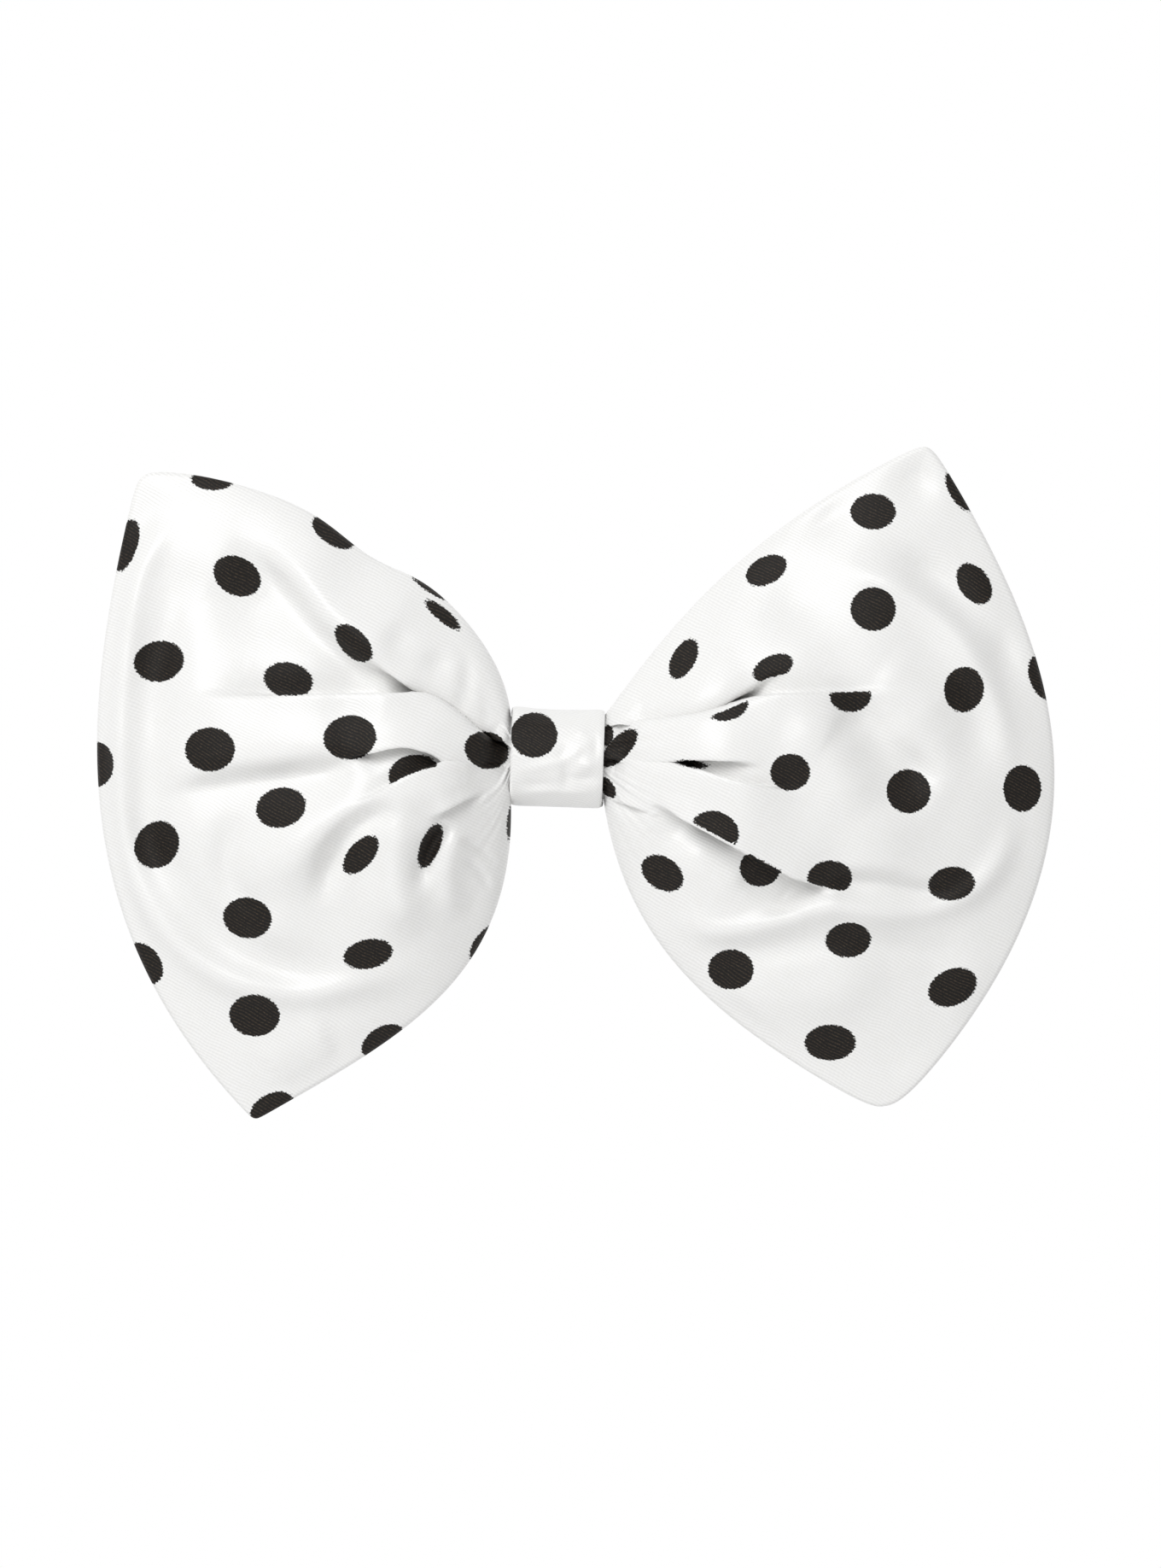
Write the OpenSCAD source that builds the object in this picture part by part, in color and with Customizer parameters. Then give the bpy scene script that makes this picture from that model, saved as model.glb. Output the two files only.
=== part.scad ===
/* [Left lobe] */
// Reach of the left lobe from the middle of the bow
left_reach = 64; // [56:1:72]
// Height of its top corner above the middle of the bow
left_top = 38.5; // [34:0.5:44]
// Depth of its bottom corner below the middle of the bow
left_bottom = 49; // [42:0.5:54]

/* [Right lobe] */
// Reach of the right lobe from the middle of the bow
right_reach = 69; // [60:1:76]
// Height of its top corner above the middle of the bow
right_top = 43; // [36:0.5:48]
// Depth of its bottom corner below the middle of the bow
right_bottom = 48; // [42:0.5:54]

/* [Fabric] */
// How far the front of a lobe stands out from the seam
front_puff = 13.5; // [9:0.5:16]
// How far the back of a lobe stands out from the seam
back_puff = 5.4; // [4.5:0.1:5.6]
// Thickness of a panel of satin and its backing
cloth_t = 0.5; // [0.4:0.1:0.8]
// Gap between the two panels at their edge, where the seam thread runs
seam_gap = 0.5; // [0.5:0.1:0.8]
// Radius of the gathered waist
waist_r = 5.3; // [5:0.1:5.4]

/* [Centre band] */
// Width of the band across the bow
band_w = 12.7; // [10:0.1:16]
// Thickness of the folded strip
band_t = 0.75; // [0.5:0.05:1]

/* [Threads] */
// Radius of the thread wound round the waist
gather_r = 0.22; // [0.15:0.01:0.25]
// Turns of thread round the waist
gather_turns = 5; // [3:1:7]
// Radius of the thread in the seam
seam_r = 0.2; // [0.1:0.01:0.22]
// Radius of the thread that closes the band
stitch_r = 0.15; // [0.1:0.01:0.18]
// Number of stitches that close the band
stitches = 6; // [4:1:8]

/* [Clip] */
// Thickness of the clip's steel
steel_t = 0.8; // [0.6:0.1:1]
// Gap between the jaws along their flat part
jaw_gap = 6.2; // [5.8:0.1:7]
// Gap between the jaws at their tips
tip_gap = 0.25; // [0.2:0.05:0.4]
// Distance from the middle of the bow to the jaws' tips
jaw_reach = 29; // [26:0.5:32]
// Distance from the middle of the bow to the ends of the finger levers
lever_reach = 31; // [29:0.5:34]
// Width of the top jaw
top_w = 9; // [8.4:0.1:9.2]
// Width of the lower jaw
lower_w = 6.8; // [6:0.1:7]
// Width of the slot between the two prongs
slot_w = 2.4; // [1.6:0.1:3]
// Flare of the lower jaw's lever
lever_deg = 15; // [10:1:18]
// Thickness of the ribbon on the top jaw
lining_t = 0.4; // [0.3:0.05:0.5]
// Teeth on each prong
teeth = 6; // [3:1:8]

/* [Hinge] */
// Distance from the middle of the bow to the hinge
hinge_x = 16; // [14:0.5:17]
// Radius of the hinge pin
pin_r = 0.75; // [0.6:0.05:0.9]
// Running clearance round the pin in the moving jaw
pin_clearance = 0.05; // [0.02:0.01:0.08]
// Radius of the ears round the pin
ear_r = 2; // [1.8:0.1:2.2]
// Gap between a fixed ear and a moving one
ear_gap = 0.3; // [0.2:0.05:0.4]
// Radius of the spring's wire
wire_r = 0.3; // [0.2:0.05:0.35]
// Turns of the spring's coil
coil_turns = 6; // [4:1:6]

/* [Hidden] */

// The back of the clip lies in the plane y = 0 and the bow faces -Y.
satin_colour = "ivory";
thread_colour = "wheat";
steel_colour = "silver";

glue_t = 0.3;
band_inside = waist_r + 0.7;
lower_inner_y = -steel_t;
top_inner_y = lower_inner_y - jaw_gap;
top_outer_y = top_inner_y - steel_t;
lining_y = top_outer_y - lining_t;
waist_y = lining_y - glue_t - band_inside;
pin_y = (top_inner_y + lower_inner_y) / 2;
slack = 0.05;

// A lobe's outline is three cubic curves, as fractions of its reach, top and bottom.
// Each row is a curve's two handles; the corners are where the curves meet.
left_shape = [
    [[0.12, 0.62], [0.62, 1.04]],
    [[1.08, -0.45], [1.03, 0.21]],
    [[0.1, -0.53], [0.34, -0.82]],
    [[0.89, 1], [0.66, -1]]
];
right_shape = [
    [[0.2, 0.28], [0.35, 0.67]],
    [[1.17, -0.27], [1.01, 0.33]],
    [[0.14, -0.46], [0.35, -0.77]],
    [[0.74, 1], [0.66, -1]]
];
mouth_x = band_w / 2 + slack;
mouth_z = waist_r + 0.4;

function scaled(p, reach, top, bottom) = [p.x * reach, p.y * (p.y > 0 ? top : bottom)];
function outline(shape, reach, top, bottom) =
    let (
        fit = function (p) scaled(p, reach, top, bottom),
        top_corner = fit(shape[3][0]),
        bottom_corner = fit(shape[3][1])
    )
    [
        [[mouth_x, mouth_z], fit(shape[0][0]), fit(shape[0][1]), top_corner],
        [bottom_corner, fit(shape[1][0]), fit(shape[1][1]), top_corner],
        [[mouth_x, -mouth_z], fit(shape[2][0]), fit(shape[2][1]), bottom_corner]
    ];
left_lobe = outline(left_shape, left_reach, left_top, left_bottom);
right_lobe = outline(right_shape, right_reach, right_top, right_bottom);

function curve(p, t) =
    pow(1 - t, 3) * p[0] + 3 * pow(1 - t, 2) * t * p[1]
    + 3 * (1 - t) * t * t * p[2] + t * t * t * p[3];
function smooth(t) = let (c = max(0, min(1, t))) c * c * (3 - 2 * c);

// A lobe's place in the flat: u runs from the waist to the outer edge, v from bottom to top.
function lobe_place(lobe, u, v) =
    let (
        waist = [mouth_x, mouth_z * (2 * v - 1)],
        corners = (1 - u) * waist + u * ((1 - v) * lobe[1][0] + v * lobe[1][3])
    )
    (1 - v) * curve(lobe[2], u) + v * curve(lobe[0], u)
    + (1 - u) * waist + u * curve(lobe[1], v) - corners;

// How far a lobe stands out from its seam at u, and at angle a across the lobe.
function lobe_puff(puff, u, a) =
    let (core = waist_r - edge_t)
    (core + (puff - edge_t - core) * smooth(u / 0.45)) * sqrt(max(0, 1 - u * u * u)) * cos(a);
edge_t = seam_gap / 2 + cloth_t;
function hollow(u) = smooth(u / 0.25);

// A panel's columns run from the left edge through the waist to the right edge.
columns = 24;
rows = 22;
waist_columns = 2;
function column_u(i) =
    let (part = (abs(i) - waist_columns) / (columns - waist_columns))
    (1 - cos(180 * part)) / 2;
function column_place(i, v) =
    abs(i) < waist_columns
    ? [mouth_x * i / waist_columns, (waist_r - 0.1) * (2 * v - 1)]
    : let (place = lobe_place(i < 0 ? left_lobe : right_lobe, column_u(i), v))
      [sign(i) * place.x, place.y];
function panel_point(i, j, puff, side, layer) =
    let (
        a = 180 * j / rows - 90,
        u = abs(i) < waist_columns ? 0 : column_u(i),
        place = column_place(i, (1 + sin(a)) / 2),
        out = lobe_puff(puff, u, a),
        depth = layer == 0 ? edge_t + out : seam_gap / 2 + out * hollow(u)
    )
    [place.x, waist_y + side * depth, place.y];

// The triangles of a closed shell between two grids of points of the same size.
function grid_faces(across, up) =
    let (
        line = up + 1,
        layer = (across + 1) * line,
        front = [for (i = [0:across - 1], j = [0:up - 1]) let (k = i * line + j)
            each [[k, k + line, k + line + 1], [k, k + line + 1, k + 1]]],
        behind = [for (f = front) [f[2] + layer, f[1] + layer, f[0] + layer]],
        rim = concat(
            [for (i = [0:across - 1]) [i * line, (i + 1) * line]],
            [for (j = [0:up - 1]) [across * line + j, across * line + j + 1]],
            [for (i = [across:-1:1]) [i * line + up, (i - 1) * line + up]],
            [for (j = [up:-1:1]) [j, j - 1]]
        ),
        sides = [for (e = rim) each [
            [e[1], e[0], e[0] + layer],
            [e[1], e[0] + layer, e[1] + layer]
        ]]
    )
    concat(front, behind, sides);
function turned(faces) = [for (f = faces) [f[2], f[1], f[0]]];

module panel(puff, side) {
    points = [for (layer = [0, 1], i = [-columns:columns], j = [0:rows])
        panel_point(i, j, puff, side, layer)];
    faces = grid_faces(2 * columns, rows);
    polyhedron(points, side < 0 ? turned(faces) : faces);
}

module front_panel() {
    color(satin_colour) panel(front_puff, -1);
}

module back_panel() {
    color(satin_colour) panel(back_puff, 1);
}

// A pad that fills a lobe to just inside its panels.
pad_across = 16;
pad_up = 12;
pad_gap = 0.4;
pad_from = 0.14;
pad_to = 0.93;
pad_half_angle = 75;
function pad_point(lobe, way, i, j, puff, side) =
    let (
        u = pad_from + (pad_to - pad_from) * i / pad_across,
        a = pad_half_angle * (2 * j / pad_up - 1),
        place = lobe_place(lobe, u, (1 + sin(a)) / 2),
        depth = seam_gap / 2 + lobe_puff(puff, u, a) * hollow(u) - pad_gap
    )
    [way * place.x, waist_y + side * depth, place.y];

module wadding(lobe, way) {
    points = [for (side = [-1, 1], i = [0:pad_across], j = [0:pad_up])
        pad_point(lobe, way, i, j, side < 0 ? front_puff : back_puff, side)];
    faces = grid_faces(pad_across, pad_up);
    polyhedron(points, way > 0 ? turned(faces) : faces);
}

module left_wadding() {
    color("white") wadding(left_lobe, -1);
}

module right_wadding() {
    color("white") wadding(right_lobe, 1);
}

// A round tube along a path of points; up is a direction that no part of the path takes.
function unit(v) = v / norm(v);
function path_way(path, i) =
    unit(path[min(i + 1, len(path) - 1)] - path[max(i - 1, 0)]);
module tube(path, r, sides, up) {
    points = [for (i = [0:len(path) - 1])
        let (
            way = path_way(path, i),
            across = unit(cross(up, way)),
            over = cross(way, across)
        )
        for (k = [0:sides - 1])
            path[i] + r * (cos(360 * k / sides) * across + sin(360 * k / sides) * over)];
    last = (len(path) - 1) * sides;
    wall = [for (i = [0:len(path) - 2], k = [0:sides - 1])
        let (a = i * sides + k, b = i * sides + (k + 1) % sides)
        each [[a, a + sides, b], [b, a + sides, b + sides]]];
    caps = [for (k = [1:sides - 2])
        each [[0, k, k + 1], [last, last + k + 1, last + k]]];
    polyhedron(points, concat(wall, caps));
}

// The seam runs just inside the edge of a lobe, from the waist round to the waist.
seam_u = 0.985;
seam_v = 0.994;
seam_from = 0.06;
seam_steps = 26;
function seam_path(lobe, way) =
    let (
        run = [for (i = [0:seam_steps - 1])
            seam_from + (seam_u - seam_from) * i / seam_steps],
        top = [for (u = run) lobe_place(lobe, u, seam_v)],
        side = [for (i = [seam_steps:-1:0])
            lobe_place(lobe, seam_u, 1 - seam_v + (2 * seam_v - 1) * i / seam_steps)],
        bottom = [for (i = [seam_steps - 1:-1:0]) lobe_place(lobe, run[i], 1 - seam_v)]
    )
    [for (p = concat(top, side, bottom)) [way * p.x, waist_y, p.y]];

module seam_thread() {
    color(thread_colour) {
        tube(seam_path(left_lobe, -1), seam_r, 6, [0, 1, 0]);
        tube(seam_path(right_lobe, 1), seam_r, 6, [0, 1, 0]);
    }
}

// Turns of thread side by side round the waist.
turn_pitch = 1.2;
gather_inside = waist_r + 0.2;
module gather_thread() {
    color(thread_colour)
        for (i = [0:gather_turns - 1])
            translate([(i - (gather_turns - 1) / 2) * turn_pitch, waist_y, 0])
                rotate([0, 90, 0])
                    rotate_extrude($fn = 64)
                        translate([gather_inside + gather_r, 0])
                            circle(r = gather_r, $fn = 24);
}

// Draws a flat shape, given in y and z, along the length of the bow.
module along_x(length) {
    rotate([90, 0, 90]) linear_extrude(length, center = true) children();
}

// Draws a flat shape, given in x and z, through the thickness of the clip.
module through_y(length) {
    rotate([90, 0, 0]) linear_extrude(length, center = true) children();
}

// The band's loop is a circle round the waist, drawn in to a corner on each side of the clip.
function tangent_point(r, corner) =
    let (
        reach = corner - [waist_y, 0],
        a = atan2(reach.y, reach.x) + acos(r / norm(reach))
    )
    [waist_y, 0] + r * [cos(a), sin(a)];
module band_loop(r, back_y, half) {
    touch = tangent_point(r, [back_y, half]);
    translate([waist_y, 0]) circle(r = r, $fn = 96);
    polygon([
        [waist_y, 0], touch, [back_y, half],
        [back_y, -half], [touch.x, -touch.y]
    ]);
}

band_back = top_inner_y + slack;
band_half = top_w / 2 + 0.1;
lap_t = 0.65;
lap_low = -4.2;
lap_high = 3.2;
module centre_band() {
    color(satin_colour) {
        along_x(band_w)
            difference() {
                band_loop(band_inside + band_t, band_back + band_t, band_half + band_t);
                band_loop(band_inside, band_back, band_half);
            }
        along_x(band_w)
            translate([band_back + band_t - slack, lap_low])
                square([lap_t + slack, lap_high - lap_low]);
    }
}

// A row of stitches along the edge of the band's overlap.
stitch_length = 1.2;
module band_stitches() {
    pitch = band_w / stitches;
    color(thread_colour)
        for (i = [0:stitches - 1])
            translate([
                (i - (stitches - 1) / 2) * pitch,
                band_back + band_t + lap_t + stitch_r,
                lap_high - stitch_length - 0.5
            ])
                cylinder(r = stitch_r, h = stitch_length, $fn = 24);
}

// Glue fills the wedge between the round waist and the flat ribbon.
glue_length = 11.6;
glue_half = 3.4;
module glue_bead() {
    color("whitesmoke")
        along_x(glue_length)
            difference() {
                translate([waist_y, -glue_half])
                    square([lining_y - waist_y - slack, 2 * glue_half]);
                translate([waist_y, 0]) circle(r = band_inside, $fn = 96);
            }
}

// The top jaw is flat behind the bow, then bends round to meet the lower jaw at its tip.
bend_x = -7;
bend_run = jaw_reach + bend_x;
bend_drop = jaw_gap - tip_gap;
bend_r = (bend_run * bend_run + bend_drop * bend_drop) / (2 * bend_drop);
module jaw_layer(near, far) {
    translate([bend_x, top_inner_y - far])
        square([lever_reach - bend_x, far - near]);
    intersection() {
        translate([bend_x, top_inner_y + bend_r])
            difference() {
                circle(r = bend_r + far, $fn = 180);
                circle(r = bend_r + near, $fn = 180);
            }
        translate([-jaw_reach, top_outer_y - 1]) square([bend_run + slack, jaw_gap + 3]);
    }
}

tip_r = 2.6;
end_r = 3;
taper_x = -5;
module top_plan(half) {
    tip = half - top_w / 2 + tip_r;
    polygon([
        [-jaw_reach + tip_r, tip], [taper_x, half], [lever_reach - end_r, half],
        [lever_reach - end_r, -half], [taper_x, -half], [-jaw_reach + tip_r, -tip]
    ]);
    translate([-jaw_reach + tip_r, 0]) circle(r = tip, $fn = 48);
    translate([lever_reach - end_r, end_r - half]) circle(r = end_r, $fn = 48);
    translate([lever_reach - end_r, half - end_r]) circle(r = end_r, $fn = 48);
    translate([lever_reach - end_r, end_r - half]) square([end_r, 2 * (half - end_r)]);
}

// A pair of ears that stand on a jaw's plate and hold the pin.
ear_foot = 2.6;
module ears(plate_y, outer, hole_r) {
    for (way = [-1, 1])
        translate([0, 0, way * (outer - steel_t / 2)])
            linear_extrude(steel_t, center = true)
                difference() {
                    union() {
                        translate([hinge_x, pin_y]) circle(r = ear_r, $fn = 48);
                        polygon([
                            [hinge_x - ear_foot, plate_y], [hinge_x + ear_foot, plate_y],
                            [hinge_x + ear_r, pin_y], [hinge_x - ear_r, pin_y]
                        ]);
                    }
                    translate([hinge_x, pin_y]) circle(r = hole_r, $fn = 48);
                }
}

module top_jaw() {
    color(steel_colour) {
        intersection() {
            linear_extrude(2 * top_w, center = true) jaw_layer(0, steel_t);
            through_y(60) top_plan(top_w / 2);
        }
        ears(top_inner_y - steel_t / 2, top_w / 2, pin_r);
    }
}

// The ribbon lies on the outside of the top jaw and turns round the end of its lever.
lining_inset = 0.5;
lining_turn = 9;
module clip_lining() {
    half = top_w / 2 - lining_inset;
    color("ivory") {
        intersection() {
            linear_extrude(2 * top_w, center = true)
                jaw_layer(steel_t, steel_t + lining_t);
            through_y(60) top_plan(half);
        }
        translate([lever_reach, lining_y, end_r - half])
            cube([lining_t, steel_t + 2 * lining_t, 2 * (half - end_r)]);
        translate([lever_reach - lining_turn, top_inner_y, end_r - half])
            cube([lining_turn + lining_t, lining_t, 2 * (half - end_r)]);
    }
}

// The lower jaw is a flat fork with a flared lever behind the hinge.
flare_x = 19;
prong_half = lower_w / 2;
slot_end = -6;
tooth_h = 0.5;
tooth_pitch = 1.5;
module lower_plan() {
    difference() {
        union() {
            translate([-jaw_reach + prong_half, -prong_half])
                square([flare_x + jaw_reach - prong_half, lower_w]);
            translate([-jaw_reach + prong_half, 0]) circle(r = prong_half, $fn = 48);
            polygon([
                [flare_x, prong_half], [lever_reach - end_r, top_w / 2],
                [lever_reach - end_r, -top_w / 2], [flare_x, -prong_half]
            ]);
            translate([lever_reach - end_r, end_r - top_w / 2]) circle(r = end_r, $fn = 48);
            translate([lever_reach - end_r, top_w / 2 - end_r]) circle(r = end_r, $fn = 48);
            translate([lever_reach - end_r, end_r - top_w / 2])
                square([end_r, top_w - 2 * end_r]);
        }
        translate([-jaw_reach - 1, -slot_w / 2])
            square([slot_end + jaw_reach + 1, slot_w]);
        translate([slot_end, 0]) circle(r = slot_w / 2, $fn = 32);
    }
}

module tooth_row() {
    for (i = [0:teeth - 1])
        translate([-jaw_reach + 2.4 + i * tooth_pitch, lower_inner_y])
            polygon([[0, slack], [tooth_pitch * 0.7, slack], [0, -tooth_h]]);
}

module lower_jaw() {
    color(steel_colour) {
        intersection() {
            linear_extrude(2 * top_w, center = true) {
                translate([-jaw_reach, -steel_t]) square([flare_x + jaw_reach, steel_t]);
                translate([flare_x, 0]) rotate(lever_deg)
                    translate([0, -steel_t]) square([lever_reach - flare_x, steel_t]);
                polygon([
                    [flare_x, 0], [flare_x, -steel_t],
                    [flare_x + steel_t * sin(lever_deg), -steel_t * cos(lever_deg)]
                ]);
            }
            through_y(60) lower_plan();
        }
        intersection() {
            linear_extrude(lower_w, center = true) tooth_row();
            through_y(60) lower_plan();
        }
        ears(-steel_t / 2, top_w / 2 - steel_t - ear_gap, pin_r + pin_clearance);
    }
}

// The pin is riveted over outside the fixed ears.
head_r = 1.3;
head_t = 0.4;
module hinge_pin() {
    color(steel_colour)
        translate([hinge_x, pin_y, 0]) {
            cylinder(r = pin_r, h = top_w + 2 * slack, center = true, $fn = 48);
            for (way = [0, 180])
                rotate([way, 0, 0])
                    translate([0, 0, top_w / 2])
                        cylinder(r = head_r, h = head_t, $fn = 48);
        }
}

// The coil sits on the pin, and its two legs push the finger levers apart.
coil_r = pin_r + wire_r + 0.3;
coil_half = 2;
turn_steps = 16;
leg_x = 27;
leg_gap = 0.1;
function coil_point(t) =
    let (a = 90 + 360 * coil_turns * t - 180 * t)
    [hinge_x + coil_r * cos(a), pin_y + coil_r * sin(a), coil_half * (2 * t - 1)];
module torsion_spring() {
    steps = turn_steps * coil_turns;
    top_end = [leg_x, top_inner_y + lining_t + wire_r + leg_gap, coil_half];
    lower_rise = (leg_x - flare_x) * tan(lever_deg);
    lower_end = [leg_x, lower_rise - (steel_t + wire_r + leg_gap) / cos(lever_deg), -coil_half];
    coil = [for (i = [0:steps]) coil_point(i / steps)];
    color("gainsboro")
        tube(concat([lower_end], coil, [top_end]), wire_r, 8, [0, 0, 1]);
}

front_panel();
back_panel();
left_wadding();
right_wadding();
seam_thread();
gather_thread();
centre_band();
band_stitches();
glue_bead();
clip_lining();
top_jaw();
lower_jaw();
hinge_pin();
torsion_spring();
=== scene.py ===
"""A polka-dot satin hair bow on a sprung clip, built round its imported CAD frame."""
import math

import bmesh
import bpy
import numpy as np
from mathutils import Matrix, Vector


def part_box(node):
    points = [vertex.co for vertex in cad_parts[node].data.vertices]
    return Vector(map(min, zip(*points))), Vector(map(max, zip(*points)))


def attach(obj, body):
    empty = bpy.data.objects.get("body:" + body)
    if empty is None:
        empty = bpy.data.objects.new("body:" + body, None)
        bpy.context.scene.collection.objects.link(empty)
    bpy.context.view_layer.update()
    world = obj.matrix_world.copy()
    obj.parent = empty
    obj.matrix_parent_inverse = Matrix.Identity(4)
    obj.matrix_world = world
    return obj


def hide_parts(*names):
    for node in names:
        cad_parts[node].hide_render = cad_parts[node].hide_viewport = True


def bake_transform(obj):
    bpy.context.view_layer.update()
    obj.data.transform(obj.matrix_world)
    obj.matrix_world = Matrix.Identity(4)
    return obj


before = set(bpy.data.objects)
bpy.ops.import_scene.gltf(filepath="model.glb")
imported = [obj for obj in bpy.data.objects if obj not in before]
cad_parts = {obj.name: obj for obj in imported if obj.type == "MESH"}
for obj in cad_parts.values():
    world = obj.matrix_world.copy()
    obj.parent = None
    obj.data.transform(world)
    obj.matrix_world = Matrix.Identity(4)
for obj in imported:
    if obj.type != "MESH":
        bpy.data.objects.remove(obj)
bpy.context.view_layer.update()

# ---------------------------------------------------------------- sizes, in millimetres
MM = 0.001


def box_mm(node):
    """The lowest and highest corners of a CAD node, in millimetres."""
    low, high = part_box(node)
    return np.array(low) / MM, np.array(high) / MM


PANEL_LOW, PANEL_HIGH = box_mm("front_panel")
THREAD_LOW, THREAD_HIGH = box_mm("gather_thread")
BAND_LOW, BAND_HIGH = box_mm("centre_band")
JAW_LOW, JAW_HIGH = box_mm("top_jaw")
LINING_LOW = box_mm("clip_lining")[0]
STITCH_LOW, STITCH_HIGH = box_mm("band_stitches")

# The waist and the panels.
WAIST_Y = (THREAD_LOW[1] + THREAD_HIGH[1]) / 2
WAIST_R = 5.3
EDGE_T = 0.03
FRONT_PUFF = WAIST_Y - PANEL_LOW[1]
BACK_PUFF = box_mm("back_panel")[1][1] - WAIST_Y
BAND_HALF = (BAND_HIGH[0] - BAND_LOW[0]) / 2
MOUTH = np.array([BAND_HALF + 0.05, WAIST_R + 0.4])

# The printed dots
DOT_R = 3.12
DOT_PITCH = 15.3
DOT_ROW_RISE = 0.87 * DOT_PITCH
DOT_WANDER = 0.5
OFF_DOT = 4.0

# The band
BAND_BACK = BAND_HIGH[1]
BAND_T = 0.62
BAND_LEAN = 0.035
BAND_FACE_Y = -12
BAND_FACE_EASE = 4
BAND_EDGE_Z = 6
BAND_TOP_RISE = 0.4
BAND_TOP_DIP = 0.45
BAND_EDGE_SLOPE = 0.05
BAND_BOTTOM_DROP = 0.15

# The jaw's plate and the ribbon on it
JAW_T = 0.8
RIBBON_T = 0.4
RIBBON_HALF = 4.0
RIBBON_TAPER = 1.9
RIBBON_TURN = 9
RIBBON_TIP = 3.5
RIBBON_NECK = 3.4
RIB_PITCH = 0.55
RIB_MIDDLE = 0.72
RIB_SWELL = 0.2
TAPER_X = -5
BEND_X = -7
BEND_R = 43.65

# The threads
STITCHES = 6
STITCH_R = 0.15
STITCH_LIFT = 0.42
STITCH_SINK = 0.25
STITCH_SLANT = 0.25
STITCH_BELOW = 0.3
STITCH_ABOVE = 0.9
SEAM_R = 0.12
SEAM_START = 25
SEAM_INSET = 4
SEAM_EDGE = 8

# How a strip's or a tube's mesh is made
STRIP_COLUMNS = 33
STRIP_END = 3
STRIP_SQUARE = 10
WELD = 0.001

# The hinge pin's place and the spring
PIN = (16, -3.9)
WIRE_R = 0.3
COIL_R = 1.35
COIL_HALF = 2
COIL_TURNS = 6
COIL_STEPS = 24
LEG_X = 27
PLATE_LEG_Y = -6.2
LEVER_LEG_Y = 0.9

# ---------------------------------------------------------------- a lobe's outline
# Corners and curve handles of each lobe, as x outwards and z up. A dent is a place, a depth and a reach.
LOBE_MIDDLE = np.array([30.0, 0.0])
ROUND_DEPTH = 0.6
ROUND_REACH = 0.85
OUTLINES = {
    "left": {
        "top": [(8, 24), (40, 40.5), (57.8, 39.4)],
        "side": [(69.6, -22), (65.6, 8)],
        "bottom": [(5.6, -31), (22, -38.6), (41.8, -50)],
        "rounding": [(1.5, "top"), (0.6, "bottom")],
        "dent": ((25.5, 29.5), 1.8, 7),
        "sign": -1,
    },
    "right": {
        "top": [(14, 15.6), (24, 31), (51.5, 43.6)],
        "side": [(81, -13), (70, 14)],
        "bottom": [(9.5, -27.5), (24, -37.5), (45.8, -49.6)],
        "rounding": [(1.5, "top"), (2.9, "bottom")],
        "sign": 1,
    },
}


def bezier(p, t):
    """The point at t of a cubic curve with two ends and two handles."""
    t = np.asarray(t)[..., None]
    p = [np.asarray(q, float) for q in p]
    return (1 - t) ** 3 * p[0] + 3 * (1 - t) ** 2 * t * p[1] + 3 * (1 - t) * t * t * p[2] + t ** 3 * p[3]


def smooth(t):
    """Eases from 0 to 1 as t goes from 0 to 1."""
    t = np.clip(t, 0, 1)
    return t * t * (3 - 2 * t)


def inward(spot):
    """The unit direction from a place on a lobe's edge to the lobe's middle."""
    way = LOBE_MIDDLE - spot
    return way / np.linalg.norm(way)


def lobe_place(lobe, u, v):
    """Where u (waist to outer edge) and v (bottom to top) fall on a lobe, as x outwards and z."""
    top = [MOUTH * (1, 1), *lobe["top"]]
    bottom = [MOUTH * (1, -1), *lobe["bottom"]]
    side = [lobe["bottom"][2], *lobe["side"], lobe["top"][2]]
    waist = np.stack([np.full_like(v, MOUTH[0]), MOUTH[1] * (2 * v - 1)], -1)
    u1, v1 = u[..., None], v[..., None]
    corners = (1 - u1) * waist + u1 * ((1 - v1) * np.array(side[0]) + v1 * np.array(side[3]))
    place = (
        (1 - v1) * bezier(bottom, u) + v1 * bezier(top, u)
        + (1 - u1) * waist + u1 * bezier(side, v) - corners
    )
    for radius, end in lobe["rounding"]:
        corner = np.array(lobe[end][2], float)
        near = np.linalg.norm(place - corner, axis=-1)
        drop = ROUND_DEPTH * radius * np.exp(-near / (ROUND_REACH * radius))
        place = place + drop[..., None] * inward(corner)
    if "dent" in lobe:
        spot, depth, reach = lobe["dent"]
        near = np.linalg.norm(place - spot, axis=-1)
        drop = depth * np.exp(-((near / reach) ** 2))
        place = place + drop[..., None] * inward(spot)
    return place


def fit_to_box(place, sign):
    """Scales a lobe's reach to the CAD panel's."""
    reach = PANEL_HIGH[0] if sign > 0 else -PANEL_LOW[0]
    return place * np.array([reach / place[..., 0].max(), 1.0])


# How many points are measured at once
BATCH = 8192


def rim_distance(place):
    """How far each point of a lobe's grid lies inside its outline."""
    outline = np.concatenate([place[:, 0], place[-1], place[:, -1]])
    flat = place.reshape(-1, 2)
    far = np.empty(len(flat))
    for i in range(0, len(flat), BATCH):
        gap = flat[i:i + BATCH, None] - outline[None]
        far[i:i + BATCH] = np.sqrt((gap ** 2).sum(-1).min(1))
    return far.reshape(place.shape[:-1])


# The rolled rim's radius in millimetres. Then the shares of a lobe's reach over which its rim rolls,
# its section sharpens and its fill swells, and how sharp the section gets and how full the end stays.
RIM_R = 0.6
RIM_BY = 0.2
SHARP_BY = 0.3
FULL_BY = 0.45
SHARPER = 0.75
OUTER_FALL = 0.85


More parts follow.
